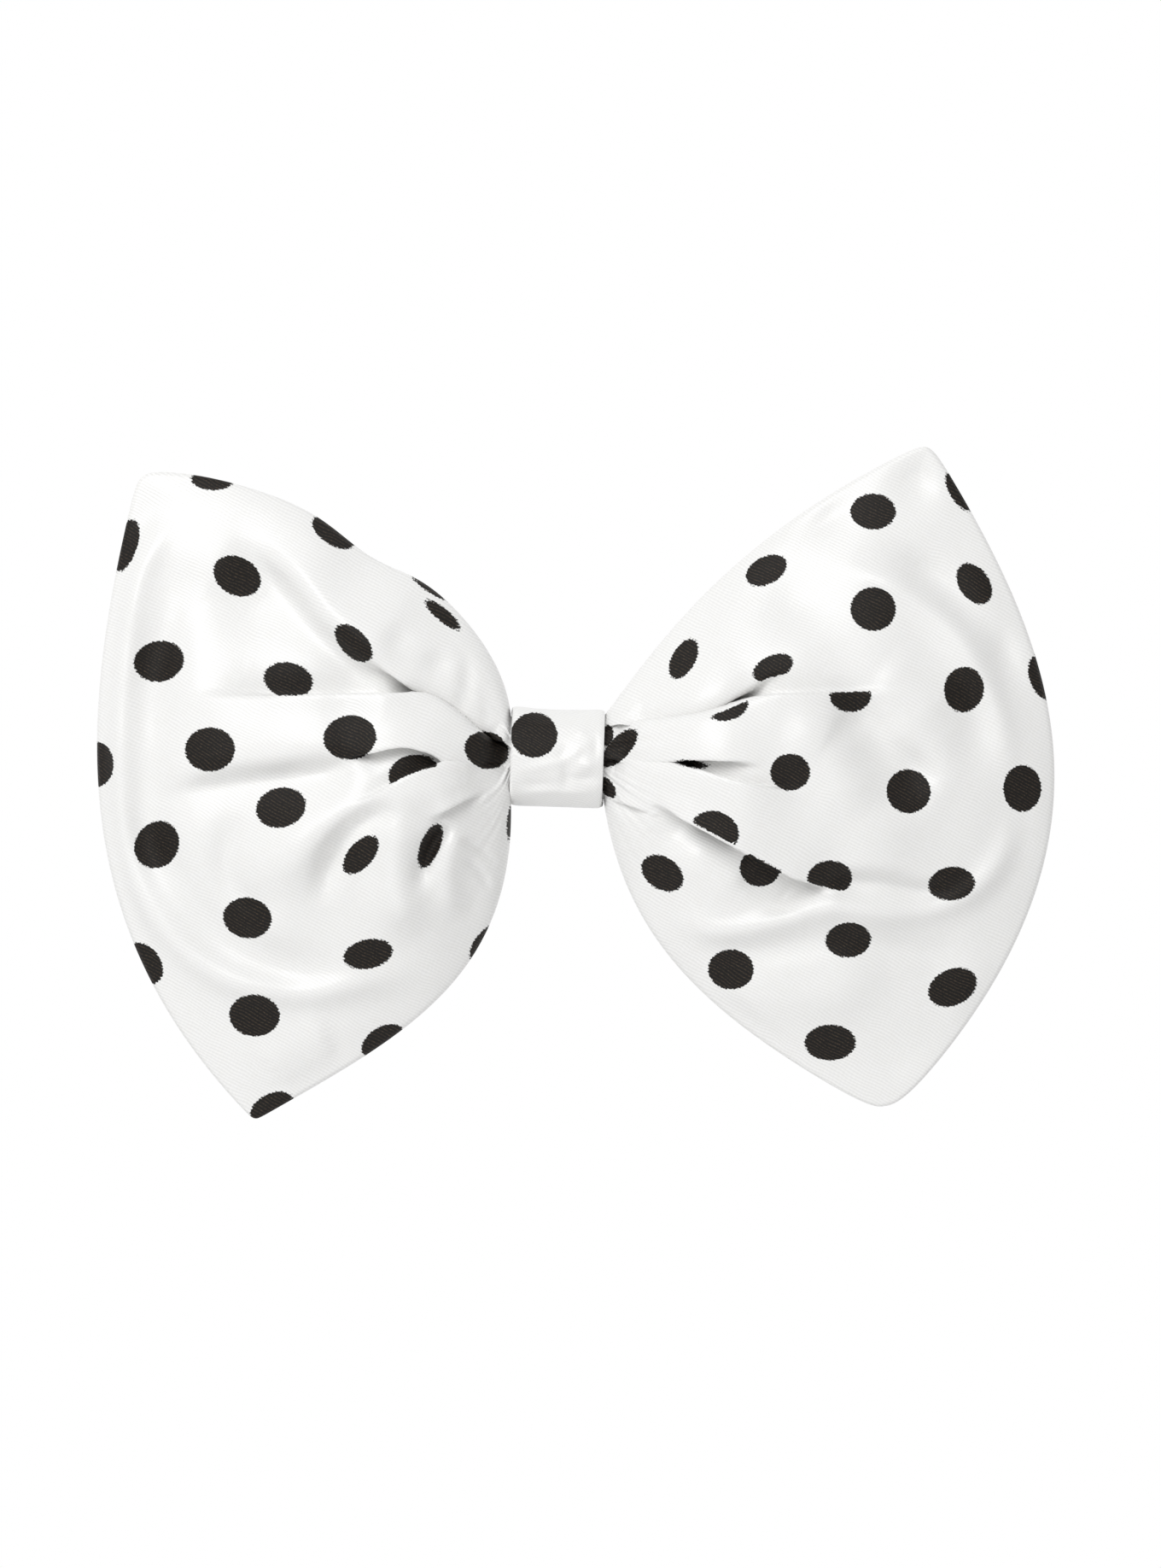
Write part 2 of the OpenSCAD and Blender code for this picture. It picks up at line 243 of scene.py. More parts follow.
def puff(height, u, v, inside):
    """How far a lobe stands out from its seam before it is folded: a thin rolled rim, then the fill."""
    across = np.sqrt(np.clip(1 - (2 * v - 1) ** 2, 0, 1)) ** (1 + SHARPER * smooth(u / SHARP_BY))
    core = WAIST_R - EDGE_T
    depth = core + (height - EDGE_T - core) * smooth(u / FULL_BY)
    rolled = RIM_R * np.sqrt(1 - (1 - np.clip(inside / RIM_R, 0, 1)) ** 2) * smooth(u / RIM_BY)
    return rolled + depth * np.clip(1 - u ** 3, 0, 1) ** OUTER_FALL * across


# ---------------------------------------------------------------- folds
def route(points, step=0.25):
    """A smooth curve through given points, with its length along it from 0 to 1."""
    p = np.array(points, float)
    p = np.vstack([2 * p[0] - p[1], p, 2 * p[-1] - p[-2]])
    out = []
    for a, b, c, d in zip(p, p[1:], p[2:], p[3:]):
        n = max(2, int(np.linalg.norm(c - b) / step))
        t = np.linspace(0, 1, n, endpoint=False)[:, None]
        out.append(0.5 * (2 * b + (c - a) * t + (2 * a - 5 * b + 4 * c - d) * t ** 2
                          + (3 * b - a - 3 * c + d) * t ** 3))
    out.append(p[-2][None])
    curve = np.vstack(out)
    run = np.concatenate([[0], np.cumsum(np.linalg.norm(np.diff(curve, axis=0), axis=1))])
    return curve, run / run[-1]


def off_route(curve, run, place):
    """Signed distance of each place from a curve (positive to its left), its fraction along it
    and the unit direction to its left."""
    flat = place.reshape(-1, 2)
    way = np.gradient(curve, axis=0)
    way /= np.linalg.norm(way, axis=1)[:, None]
    left = np.stack([-way[:, 1], way[:, 0]], 1)
    near = np.empty(len(flat), int)
    for i in range(0, len(flat), BATCH):
        part = flat[i:i + BATCH]
        near[i:i + BATCH] = ((part[:, None] - curve[None]) ** 2).sum(-1).argmin(1)
    gap = flat - curve[near]
    side = (gap * left[near]).sum(1)
    distance = np.where(side >= 0, 1, -1) * np.linalg.norm(gap, axis=1)
    shape = place.shape[:-1]
    return distance.reshape(shape), run[near].reshape(shape), left[near].reshape(*shape, 2)


def fade(run, start, end):
    """1 along a fold, easing to 0 over these fractions of it at its ends."""
    out = np.ones_like(run)
    if start:
        out = out * smooth(run / start)
    if end:
        out = out * smooth((1 - run) / end)
    return out


class Crease:
    """A fold with its high side to the left of its route: a rolled lip over a hollow."""

    WALL = 0.35

    def __init__(self, points, lip, dip, high=2.5, low=2.0, curl=1.5, width=1.3, start=0.0, end=0.35):
        self.route = route(points)
        self.lip, self.dip, self.high, self.low = lip, dip, high, low
        self.curl, self.width, self.start, self.end = curl, width, start, end

    def beyond(self, place):
        """Distance from the fold, positive on its high side."""
        return off_route(*self.route, place)[0]

    def shape(self, place):
        d, s, left = off_route(*self.route, place)
        f = fade(s, self.start, self.end)
        edge = self.WALL * self.width
        above = self.lip * np.tanh(d / edge) * np.exp(-np.clip(d - edge, 0, None) / self.high)
        below = self.dip * np.tanh(d / edge) * np.exp(-np.clip(-d - edge, 0, None) / self.low)
        rise = f * np.where(d > 0, above, below)
        pull = self.curl * d * np.exp(-((d / self.width) ** 2))
        return rise, -(f * pull)[..., None] * left


class Ridge:
    """A soft rise (or a valley, with a negative height) along a route."""

    def __init__(self, points, height, width, start=0.25, end=0.3, other=None):
        self.route = route(points)
        self.height, self.width, self.other = height, width, other or width
        self.start, self.end = start, end

    def shape(self, place):
        d, s, _ = off_route(*self.route, place)
        w = np.where(d > 0, self.width, self.other)
        return fade(s, self.start, self.end) * self.height * np.exp(-((d / w) ** 2)), 0


class Swell:
    """A soft rise (or a hollow, with a negative height) round one point."""

    def __init__(self, x, z, height, rx, rz=None):
        self.centre, self.height, self.radii = np.array((x, z)), height, np.array((rx, rz or rx))

    def shape(self, place):
        q = (((place - self.centre) / self.radii) ** 2).sum(-1)
        return self.height * np.exp(-q), 0


# The routes run in x and z. A crease's high side is on the left as its route is walked.
LEFT_FOLDS = {
    "upper flap's lip": Crease(
        [(-26.5, 13.4), (-20.2, 10.0), (-15.0, 7.9), (-11.5, 5.1), (-6.6, 1.6)],
        1.0, 2.6, high=3, low=1.7, curl=1.8, width=1.2, start=0.3, end=0),
    "upper flap's edge": Crease(
        [(-45, 31.5), (-42, 29.5), (-37.8, 25.5), (-34.3, 21.5), (-31.7, 18.3), (-26.4, 13.5),
         (-21, 10.8)], 1.3, 2.0, high=5, low=4.5, curl=0, width=5, start=0.4, end=0.2),
    "middle puff's crest": Crease(
        [(-8, 1.0), (-11.5, 3.6), (-15, 6.5), (-17.8, 7.9), (-22, 8.5), (-29, 8.5), (-38, 8.4),
         (-47.5, 8.7), (-51, 9)], 1.0, 2.5, high=3.5, low=5.5, curl=1.7, width=1.2, start=0.05, end=0.4),
    "wedge over the crest": Ridge(
        [(-24, 9.6), (-20, 9.4), (-17, 8.5), (-13.8, 6.6), (-10.8, 4.0), (-8, 1.6)],
        -1.7, 1.0, start=0.3, end=0.1),
    "middle puff's lip": Crease(
        [(-29, -0.2), (-25.5, 0.6), (-21.1, 1.5), (-17.6, 0.8), (-15, -0.3), (-11.5, -0.8), (-6.6, -1.4)],
        0.7, 1.7, high=3, low=1.6, curl=1.8, width=1.1, start=0.2, end=0),
    "middle puff's underside": Crease(
        [(-56, -5.2), (-50, -3.0), (-45, -2.0), (-38, -1.2), (-31, -0.2), (-26, 0.5)],
        0.8, 1.5, high=5, low=3.2, curl=0, width=4, start=0.35, end=0.2),
    "lower puff's crest": Crease(
        [(-6.6, -1.9), (-12, -1.5), (-15.8, -1.2), (-19, -2.0), (-22, -3.4), (-25, -5.2), (-29, -7.0)],
        0.8, 1.4, high=3, low=1.5, curl=1.5, width=1.0, start=0, end=0.4),
    "lower puff": Ridge([(-9, -3.2), (-17, -4.2), (-25, -7.2), (-32, -10.2), (-36.5, -14), (-39, -20)],
                        1.3, 4.2, start=0.2),
    "lower puff's end": Swell(-37, -13.5, 0.7, 4.5, 5.5),
    "dimple beside it": Ridge([(-42.5, -8), (-45, -12), (-44.5, -17), (-41, -20.5), (-37, -21.5)],
                              -0.6, 1.9),
    "lower puff's valley": Ridge(
        [(-20.5, -6.6), (-24.5, -7.8), (-27.6, -9.6), (-30, -12.4), (-31.5, -16), (-32, -21)],
        -1.8, 1.6, start=0.3, end=0.4),
    "second lower puff": Ridge([(-19, -7.6), (-21.5, -12), (-22, -16), (-21, -21), (-18.5, -25)], 1.1, 2.5),
    "its valley": Ridge([(-14.5, -8.5), (-16.8, -11.5), (-18.2, -15), (-18.6, -19)],
                        -1.1, 1.1, start=0.2, end=0.4),
    "third lower puff": Ridge([(-12.5, -9), (-14.2, -13.5), (-14.6, -18), (-13.2, -22.5)], 0.7, 1.7),
    "tuck by the band": Crease([(-17.5, -8.8), (-14.5, -6.9), (-12, -5.6), (-9.6, -4.7)],
                               0.5, 1.2, high=1.5, low=1.0, curl=1.4, width=0.8, start=0.4, end=0.4),
    "fan": Ridge([(-13.6, -10.7), (-10.5, -12.8), (-7.6, -15)], -0.45, 0.6),
    "fan below": Ridge([(-12.6, -13.6), (-10.2, -16.2), (-8.6, -19)], -0.4, 0.6),
    "edge of the fill": Ridge(
        [(-52, 34.5), (-57.0, 26), (-59.2, 16.5), (-59.9, 6), (-60.0, -4), (-59.0, -13),
         (-55, -22), (-46.5, -29.6), (-36, -32.2), (-27, -31), (-17, -29)], 0.9, 2.0, start=0.1, end=0.15),
    "valley inside it": Ridge(
        [(-49, 29.5), (-52.5, 22), (-54.6, 12), (-55.2, 0), (-55.0, -10), (-51, -18.5), (-44, -25),
         (-35.5, -28.2), (-26, -27)], -0.9, 2.9, start=0.2, end=0.2),
    "shadow round the flap": Swell(-42, 20, -1.5, 6.5, 8),
    "hollow by the band": Swell(-16.4, 12.8, -0.45, 1.8),
    "second hollow": Swell(-12.4, 10.4, -0.4, 1.1, 3.0),
    "third hollow": Swell(-21.8, 16.2, -0.35, 1.8),
    "upper hollow": Swell(-29, 24, -0.3, 4),
    "middle": Swell(-40, 2.5, 0.5, 8, 4),
    "bottom": Ridge([(-30, -38), (-37, -40.5), (-41, -43)], 0.6, 3.5),
}
RIGHT_FOLDS = {
    "upper flap's lip": Crease(
        [(6.5, 4.2), (10.1, 4.9), (14.7, 5.5), (20.2, 6.6), (23.9, 8.4), (26.2, 9.5), (28.5, 10.7),
         (32.1, 11.6)], 0.9, 1.9, high=3.5, low=1.4, curl=1.8, width=1.2, end=0.4),
    "middle puff's crest": Crease(
        [(48.5, 7.8), (45.9, 8.6), (43.1, 9.0), (38.6, 8.9), (34, 8.7), (29.4, 8.5), (26.2, 7.8),
         (20.2, 5.5), (12, 4.3), (8, 3.9)],
        0.9, 1.8, high=3.5, low=3.6, curl=1.4, width=1.3, start=0.5, end=0.1),
    "wedge over the crest": Ridge([(12, 4.7), (17, 5.5), (21, 6.5), (25, 8.3), (29, 9.7)],
                                  -1.5, 1.0, start=0.2, end=0.3),
    "valley across the middle": Ridge(
        [(36.5, 8.0), (39.5, 6.8), (42.3, 4.2), (44.5, 1.2), (48, -1.2), (53, -4.8)],
        -1.7, 2.8, start=0.3, end=0.3, other=4.6),
    "middle puff's end": Ridge([(30, 4), (36, 2), (40, -3), (43, -8)], 0.7, 4.0),
    "hollow beside the rise": Swell(57.0, 3.5, -0.5, 3.0, 4.5),
    "rise above it": Ridge([(44, 13), (49, 9), (53.5, 5)], 0.35, 3.4),
    "upper edge of the fill": Ridge(
        [(37, 26), (41, 25.3), (45.5, 24.0), (50.5, 20.5), (55.5, 15.5), (59.3, 9), (61.3, 2), (61.8, -5)],
        0.9, 1.9, start=0.25, end=0.35),
    "valley outside it": Ridge([(43, 29.5), (50.5, 25.8), (56.5, 20), (61, 14.8), (63.8, 7)],
                               -0.7, 2.2, start=0.3),
    "wedge's upper lip": Crease(
        [(7, -0.2), (10.6, -0.2), (15.6, -0.1), (20.2, -0.2), (24.8, -0.7), (28.5, -1.5)],
        0.7, 1.6, high=3, low=1.1, curl=1.8, width=1.0, end=0.35),
    "wedge's lower crest": Crease(
        [(34, -4.8), (30.3, -4.2), (24.8, -3.4), (19.3, -1.8), (15, -1.1), (12, -0.9), (7, -0.7)],
        0.8, 1.3, high=4, low=1.2, curl=1.6, width=1.0, start=0.35, end=0.1),
    "overlap": Crease(
        [(12.5, -6.0), (14.3, -6.8), (18.4, -8.8), (23.9, -11.8), (29.8, -15), (34, -16.9), (38.6, -18.2)],
        0.9, 2.3, high=4, low=4.0, curl=2.0, width=1.3, start=0.2, end=0.25),
    "overlap's far end": Crease([(34, -16.2), (40, -15.6), (46, -15.9), (51, -17.2), (57, -17.5)],
                                0.5, 1.1, high=4, low=2.2, curl=0, width=3, start=0.35, end=0.35),
    "lower layer": Swell(18.5, -13.8, 0.5, 3.0),
    "lower layer's hollow": Ridge([(25, -15), (29, -18.6), (34, -19.6)], -0.7, 2.2),
    "tuck by the band": Crease([(6.4, -5.6), (8.3, -6.1), (9.7, -6.5), (11.5, -7.2), (13, -7.6)],
                               0.3, 0.6, high=1.4, low=1.0, curl=1.0, width=0.8, end=0.4),
    "lower edge of the fill": Ridge(
        [(15, -21), (20.2, -23.5), (25, -23.6), (29.4, -22.6), (34, -21), (38.6, -20.3), (45.9, -21.2),
         (52.3, -20.3), (57.8, -17.5), (61.3, -12.5), (62.3, -6)], 0.9, 1.8, start=0.15, end=0.2),
    "valley below it": Ridge(
        [(22, -27), (30, -26), (38, -25.0), (46, -26.0), (52, -26), (57, -23)], -0.6, 2.2),
    "lower puff": Ridge([(18, -30), (28, -32.5), (38, -32.5), (47, -30)], 0.8, 4.2),
    "low hollow": Swell(52.0, -28.5, -0.4, 3.5, 2.5),
    "top hollow": Swell(50, 25.8, -0.35, 3.4),
    "corner hollow": Swell(49.6, 37.8, -0.4, 3.0),
    "upper hollow": Swell(33.0, 21.0, -0.6, 5),
    "second upper hollow": Swell(36.7, 34.0, -0.3, 3.5),
    "side hollow": Swell(62.0, 15, -0.2, 2.6),
    "bottom hollow": Swell(45.9, -41.5, -0.5, 4.0),
    "middle": Swell(44, -10, 0.5, 7, 4),
}


BACK_SLOPES = (-1.0, -0.62, -0.3, 0.02, 0.33, 0.62)
BACK_BEND = 0.006


def back_folds(sign, seed):
    """Soft pleats that fan out from the waist over the back of a lobe."""
    rng = np.random.default_rng(seed)
    folds = {}
    for k, slope in enumerate(BACK_SLOPES):
        tilt = slope + rng.normal(0, 0.04)
        reach = 24 + 12 * rng.random()
        start = MOUTH[1] * slope
        points = [(sign * (MOUTH[0] + run), start + tilt * run * (1 - BACK_BEND * run))
                  for run in (0, 8, 18, reach)]
        folds[f"pleat {k}"] = Ridge(points, -0.9 - 0.4 * rng.random(), 1.5 + 0.5 * rng.random(),
                                    start=0.0, end=0.75)
    return folds


GATHER_COUNTS = (9, 14, 21)
GATHER_HEIGHT = 0.16
GATHER_REACH = 0.10
WAVES = 8
WAVE_HEIGHT = 0.07
WAVE_LENGTH = 9


def gathers(place, u, v, seed):
    """Fine pleats that fan out from the waist and die away, and the cloth's slow unevenness."""
    rng = np.random.default_rng(seed)
    out = np.zeros_like(u)
    for count in GATHER_COUNTS:
        ripple = np.sin(2 * math.pi * (count * v + rng.random()))
        out += GATHER_HEIGHT * ripple * np.exp(-u / GATHER_REACH)
    for _ in range(WAVES):
        angle, phase = rng.random(2) * 2 * math.pi
        wave = WAVE_LENGTH * (1 + rng.random())
        along = place[..., 0] * math.cos(angle) + place[..., 1] * math.sin(angle)
        out += WAVE_HEIGHT * np.sin(2 * math.pi * along / wave + phase) * smooth(u / RIM_BY)
    return out


# ---------------------------------------------------------------- a panel's cloth
ACROSS = 150
UP = 240
WAIST_STEPS = 6
RELIEF = 1.5
RIM_FADE = 3.5
WAIST_RELIEF = 0.35
WAIST_FADE = 0.09
WAIST_SQUEEZE = 0.06
PAD_MARGIN = 0.03
PAD_ROUND = 0.08
PAD_REACH = 7
PAD_GAP = 0.5
PAD_LEAST = 0.2
PAD_SOFTENINGS = 12
PAD_STEP = 3


def ease_steps(n, ease):
    """Steps from 0 to 1, closer together at both ends."""
    t = np.linspace(0, 1, n + 1)
    return t - ease * np.sin(2 * math.pi * t) / (2 * math.pi)


def lobe_grid(name):
    """A lobe's rows and columns: u, v and the unfolded places."""
    u, v = np.meshgrid(ease_steps(ACROSS, 0.55), ease_steps(UP, 0.7), indexing="ij")
    sign = OUTLINES[name]["sign"]
    return u, v, fit_to_box(lobe_place(OUTLINES[name], u, v), sign) * (sign, 1)


def lobe_cloth(name, height, side, folds, seed):
    """One lobe of one panel, as a grid of points."""
    u, v, place = lobe_grid(name)
    inside = rim_distance(place)
    at_waist = WAIST_RELIEF + (1 - WAIST_RELIEF) * smooth(u / WAIST_FADE)
    strength = smooth(inside / RIM_FADE) * at_waist
    rise = gathers(place, u, v, seed)
    shift = np.zeros_like(place)
    for fold in folds.values():
        r, s = fold.shape(place)
        rise = rise + RELIEF * r
        shift = shift + s
    depth = EDGE_T / 2 + np.maximum(puff(height, u, v, inside) + strength * rise, 0)
    place = place + strength[..., None] * shift
    return np.stack([place[..., 0], WAIST_Y + side * depth, place[..., 1]], -1)


def waist_cloth(left, right):
    """The gathered cloth under the band, which joins the lobes."""
    t = np.linspace(0, 1, WAIST_STEPS + 1)[1:-1, None, None]
    ends = (1 - t) * left + t * right
    middle = ends.copy()
    squeeze = 1 - WAIST_SQUEEZE * np.sin(math.pi * t)
    middle[..., 1:2] = WAIST_Y + (ends[..., 1:2] - WAIST_Y) * squeeze
    middle[..., 2:3] = ends[..., 2:3] * squeeze
    return middle


def panel_cloth(left, right):
    """A whole panel, from the left lobe's outer edge to the right one's."""
    return np.concatenate([left[::-1], waist_cloth(left[0], right[0]), right])


def cloth_lengths(grid):
    """Lengths along the cloth both ways, from the first column and row."""
    along = np.zeros(grid.shape[:2])
    up = np.zeros(grid.shape[:2])
    along[1:] = np.cumsum(np.linalg.norm(np.diff(grid, axis=0), axis=2), 0)
    up[:, 1:] = np.cumsum(np.linalg.norm(np.diff(grid, axis=1), axis=2), 1)
    return along, up


def dot_field(grid, dots):
    """Each point's distance outside the nearest printed dot, an ellipse on its slope of cloth."""
    field = np.full(grid.shape[:2], OFF_DOT)
    for x, z, long, short, tilt, *cut in dots:
        turn = math.radians(tilt)
        right, up = grid[..., 0] - x, grid[..., 2] - z
        a = right * math.cos(turn) + up * math.sin(turn)
        b = up * math.cos(turn) - right * math.sin(turn)
        outside = (np.hypot(a / long, b / short) - 1) * short
        for name, side in cut:
            fold = (LEFT_FOLDS if x < 0 else RIGHT_FOLDS)[name]
            near = outside < 1
            outside[near] = np.maximum(outside[near], -side * fold.beyond(grid[near][:, ::2]))
        field = np.minimum(field, outside)
    return field


# The printed dots, each as x, z, half its length, half its width and its tilt. Where a fold hides the rest
# of one, the fold's name and the side that shows follow: 1 is the high side.
LEFT_DOTS = [
    (-43.9, 24.9, 3.4, 2.6, -30), (-54.5, 13.2, 3.5, 2.8, 8), (-47.2, 1.1, 3.5, 3.0, 0),
    (-36.7, 10.6, 3.4, 2.4, -12, ("middle puff's crest", -1)), (-28.0, 2.7, 3.6, 3.0, 5),
    (-37.5, -6.8, 3.5, 2.7, 12), (-54.8, -11.9, 3.4, 3.0, 50), (-42.3, -21.9, 3.4, 2.8, -5),
    (-25.8, -26.8, 3.4, 2.0, 12), (-41.5, -35.3, 3.5, 2.9, 0), (-26.6, -13.2, 3.2, 1.7, 48),
    (-17.2, -12.0, 3.2, 1.3, 68), (-27.7, 15.6, 3.2, 1.8, -45),
    (-19.3, -2.4, 3.5, 2.8, 8, ("lower puff's crest", -1)), (-9.6, 1.0, 3.0, 2.5, -20),
    (-59.4, 29.2, 3.7, 1.7, 72), (-63.4, -0.9, 3.1, 2.6, 90), (-56.9, -28.3, 3.2, 2.4, -50),
    (-24.0, -39.0, 3.2, 2.0, 33), (-39.3, -48.2, 3.2, 2.0, 28), (-47.5, 38.2, 2.9, 1.4, -3),
    (-30.8, 31.0, 3.3, 1.7, -35), (-17.6, 23.3, 2.7, 0.5, -34), (-15.7, 19.6, 3.0, 0.9, -40),
    (-9.9, -25.4, 3.0, 1.4, 52), (-6.3, -8.8, 2.4, 0.6, 85),
]
RIGHT_DOTS = [
    (43.4, 33.8, 3.1, 2.5, 0), (28.7, 25.7, 3.0, 1.9, 28), (43.2, 20.3, 3.1, 3.0, 0),
    (57.3, 23.9, 3.1, 2.1, -55), (17.3, 13.5, 3.0, 1.6, 62),
    (29.4, 12.2, 2.9, 1.7, 25, ("upper flap's lip", 1)), (55.6, 9.3, 3.1, 2.75, 80),
    (23.1, 6.9, 2.9, 1.9, 15, ("middle puff's crest", 1)),
    (39.9, 8.4, 2.9, 2.2, 0, ("middle puff's crest", 1)),
    (66.9, 11.1, 3.2, 2.0, -70), (31.6, -2.0, 2.7, 2.5, 0), (47.9, -4.6, 3.05, 3.0, 0),
    (63.8, -4.2, 3.2, 2.7, 90), (21.4, -10.0, 3.3, 2.7, -20, ("overlap", 1)),
    (27.7, -15.0, 2.8, 2.6, 0, ("overlap", -1)), (37.1, -16.4, 3.1, 2.4, 0, ("overlap", 1)),
    (14.4, -15.8, 3.1, 2.2, -35), (53.9, -17.2, 3.2, 2.3, 5), (39.8, -24.9, 3.1, 2.4, 3),
    (23.8, -29.0, 3.1, 2.75, 0), (54.3, -31.5, 3.5, 2.5, 24), (37.5, -39.1, 3.5, 2.5, 0),
    (55.3, 36.6, 3.0, 1.3, -58), (6.8, 3.0, 1.5, 0.9, 80), (8.5, 1.3, 3.3, 1.45, 47),
    (6.9, -4.1, 1.6, 0.9, -58),
    # The last entry is a thin dark sliver in the hollow under the wedge's upper lip, drawn in the dots'
    # ink.
    (18.5, -0.9, 2.2, 0.5, -8, ("wedge's upper lip", -1)),
]
BAND_DOT = (-3.15, 3.1, 3.2, 3.1, 0)
BAND_DOTS_BEHIND = [(-4.2, -2.6, 3.1, 3.0, 0)]


def scattered_dots(low, high, seed):
    """A printer's staggered rows of dots, a little uneven."""
    rng = np.random.default_rng(seed)
    out = []
    for row in range(int((high[1] - low[1]) / DOT_ROW_RISE) + 2):
        for k in range(int((high[0] - low[0]) / DOT_PITCH) + 2):
            wander = rng.normal(0, DOT_WANDER, 2)
            x = low[0] + DOT_PITCH * (k + 0.5 * (row % 2)) + wander[0]
            z = low[1] + DOT_ROW_RISE * row + wander[1]
            out.append((x, z, DOT_R, 0.95 * DOT_R, 0))
    return out


def weld_ends(mesh):
    """Merges the points that meet where a tube or a ribbon closes."""
    whole = bmesh.new()
    whole.from_mesh(mesh)
    bmesh.ops.remove_doubles(whole, verts=whole.verts, dist=WELD * MM)
    whole.to_mesh(mesh)
    whole.free()


def grid_mesh(name, grid, field=None, flip=False, closed=False, welded=False, spread=False):
    """A mesh of quads through a grid of points. Its weave is laid along the cloth's lengths, or
    spread straight over its front where folds would bunch those."""
    across, up = grid.shape[:2]
    index = np.arange(across * up).reshape(across, up)
    if closed:
        index = np.concatenate([index, index[:1]])
    quads = np.stack([index[:-1, :-1], index[1:, :-1], index[1:, 1:], index[:-1, 1:]], -1).reshape(-1, 4)
    if flip:
        quads = quads[:, ::-1]
    mesh = bpy.data.meshes.new(name)
    mesh.from_pydata((grid.reshape(-1, 3) * MM).tolist(), [], quads.tolist())
    mesh.polygons.foreach_set("use_smooth", np.ones(len(mesh.polygons), bool))
    along, rise = (grid[..., 0], grid[..., 2]) if spread else cloth_lengths(grid)
    uv = mesh.uv_layers.new(name="weave")
    loop_vertex = np.zeros(len(mesh.loops), np.int32)
    mesh.loops.foreach_get("vertex_index", loop_vertex)
    flat = np.stack([along.ravel(), rise.ravel()], 1)[loop_vertex]
    uv.data.foreach_set("uv", flat.astype(np.float32).ravel())
    if field is not None:
        dot = mesh.attributes.new("dot", "FLOAT", "POINT")
        dot.data.foreach_set("value", field.astype(np.float32).ravel())
    if welded:
        weld_ends(mesh)
    mesh.update()
    piece = bpy.data.objects.new(name, mesh)
    bpy.context.scene.collection.objects.link(piece)
    return piece


def least_nearby(depth, reach):
    """The least depth within this many rows and columns."""
    for axis in (0, 1):
        out = depth.copy()
        for k in range(1, reach + 1):
            for step in (k, -k):
                moved = np.roll(depth, step, axis)
                edge = [slice(None)] * 2
                edge[axis] = slice(0, k) if step > 0 else slice(-k, None)
                moved[tuple(edge)] = depth[tuple(edge)]
                out = np.minimum(out, moved)
        depth = out
    return depth


def softened(depth, times):
    """Depths averaged with their neighbours, this many times."""
    for _ in range(times):
        wide = np.pad(depth, 1, mode="edge")
        depth = (wide[:-2, 1:-1] + wide[2:, 1:-1] + wide[1:-1, :-2] + wide[1:-1, 2:] + 2 * depth) / 6
    return depth


def wadding_mesh(lobe, front, back):
    """The pad between a lobe's two sheets, clear of the folds of both."""
    u, v, place = lobe_grid(lobe)
    edge = np.minimum(np.minimum(v, 1 - v) - PAD_MARGIN, np.minimum(u - PAD_MARGIN, 1 - u - PAD_MARGIN))
    round_off = np.sqrt(np.clip(edge / PAD_ROUND, 0, 1))
    sheets = []
    for cloth, side in ((front, -1), (back, 1)):
        depth = least_nearby(side * (cloth[..., 1] - WAIST_Y), PAD_REACH)
        depth = np.maximum(softened(depth, PAD_SOFTENINGS) - PAD_GAP, PAD_LEAST) * round_off
        sheets.append(np.stack([place[..., 0], WAIST_Y + side * depth, place[..., 1]], -1))
    inside = edge >= 0
    rows = np.flatnonzero(inside.any(1))
    columns = np.flatnonzero(inside.any(0))
    part = np.ix_(rows[::PAD_STEP], columns[::PAD_STEP])
    ring = np.concatenate([sheets[0][part], sheets[1][part][:, ::-1]], 1)
    return np.swapaxes(ring, 0, 1)


# ---------------------------------------------------------------- materials
# Colours are linear. Each angle is across one set of the weave's lines, and pitches are in
# millimetres.
WARM_WHITE = (0.905, 0.900, 0.880, 1)
COOL_WHITE = (0.925, 0.925, 0.920, 1)
INK = (0.0015, 0.001, 0.0006, 1)
INK_THREAD = (0.18, 0.125, 0.08, 1)
SATIN_ROUGH = 0.3
INK_ROUGHER = 0.35
FLOAT_ANGLE = math.radians(62)
FLOAT_PITCH = 0.42
CROSS_ANGLE = math.radians(-24)
CROSS_PITCH = 0.52
CROSS_SHARE = 0.25
WEAVE_SHADE = 0.09
SLUB_SHADE = 0.03
DARKEST = 0.845
SATIN_SPECULAR = 0.32
DOT_JAG = 0.55
DOT_FRAY = 0.07
FIBRE_DARK = 0.82
STEEL_DARK = 0.86


def new_material(name):
    """A material with one empty Principled shader."""
    material = bpy.data.materials.new(name)
    material.use_nodes = True
    tree = material.node_tree
    tree.nodes.clear()
    out = tree.nodes.new("ShaderNodeOutputMaterial")
    shader = tree.nodes.new("ShaderNodeBsdfPrincipled")
    tree.links.new(shader.outputs[0], out.inputs[0])
    return material, tree, shader


def node(tree, kind, inputs=None, **settings):
    """A new node. An input is a value or another node's socket."""
    made = tree.nodes.new(kind)
    for key, value in settings.items():
        setattr(made, key, value)
    for key, value in (inputs or {}).items():
        socket = made.inputs[key]
        if isinstance(value, bpy.types.NodeSocket):
            tree.links.new(value, socket)
        else:
            socket.default_value = value
    return made


def maths(tree, operation, a, b=0.0, c=0.0):
    """The output of a new Math node."""
    return node(tree, "ShaderNodeMath", {0: a, 1: b, 2: c}, operation=operation).outputs[0]


def mixed(tree, factor, a, b, blend="MIX"):
    """The output of a new Mix node for colours."""
    made = node(tree, "ShaderNodeMix", data_type="RGBA", blend_type=blend)
    for socket, value in ((made.inputs[0], factor), (made.inputs[6], a), (made.inputs[7], b)):
        if isinstance(value, bpy.types.NodeSocket):
            tree.links.new(value, socket)
        else:
            socket.default_value = value
    return made.outputs[2]


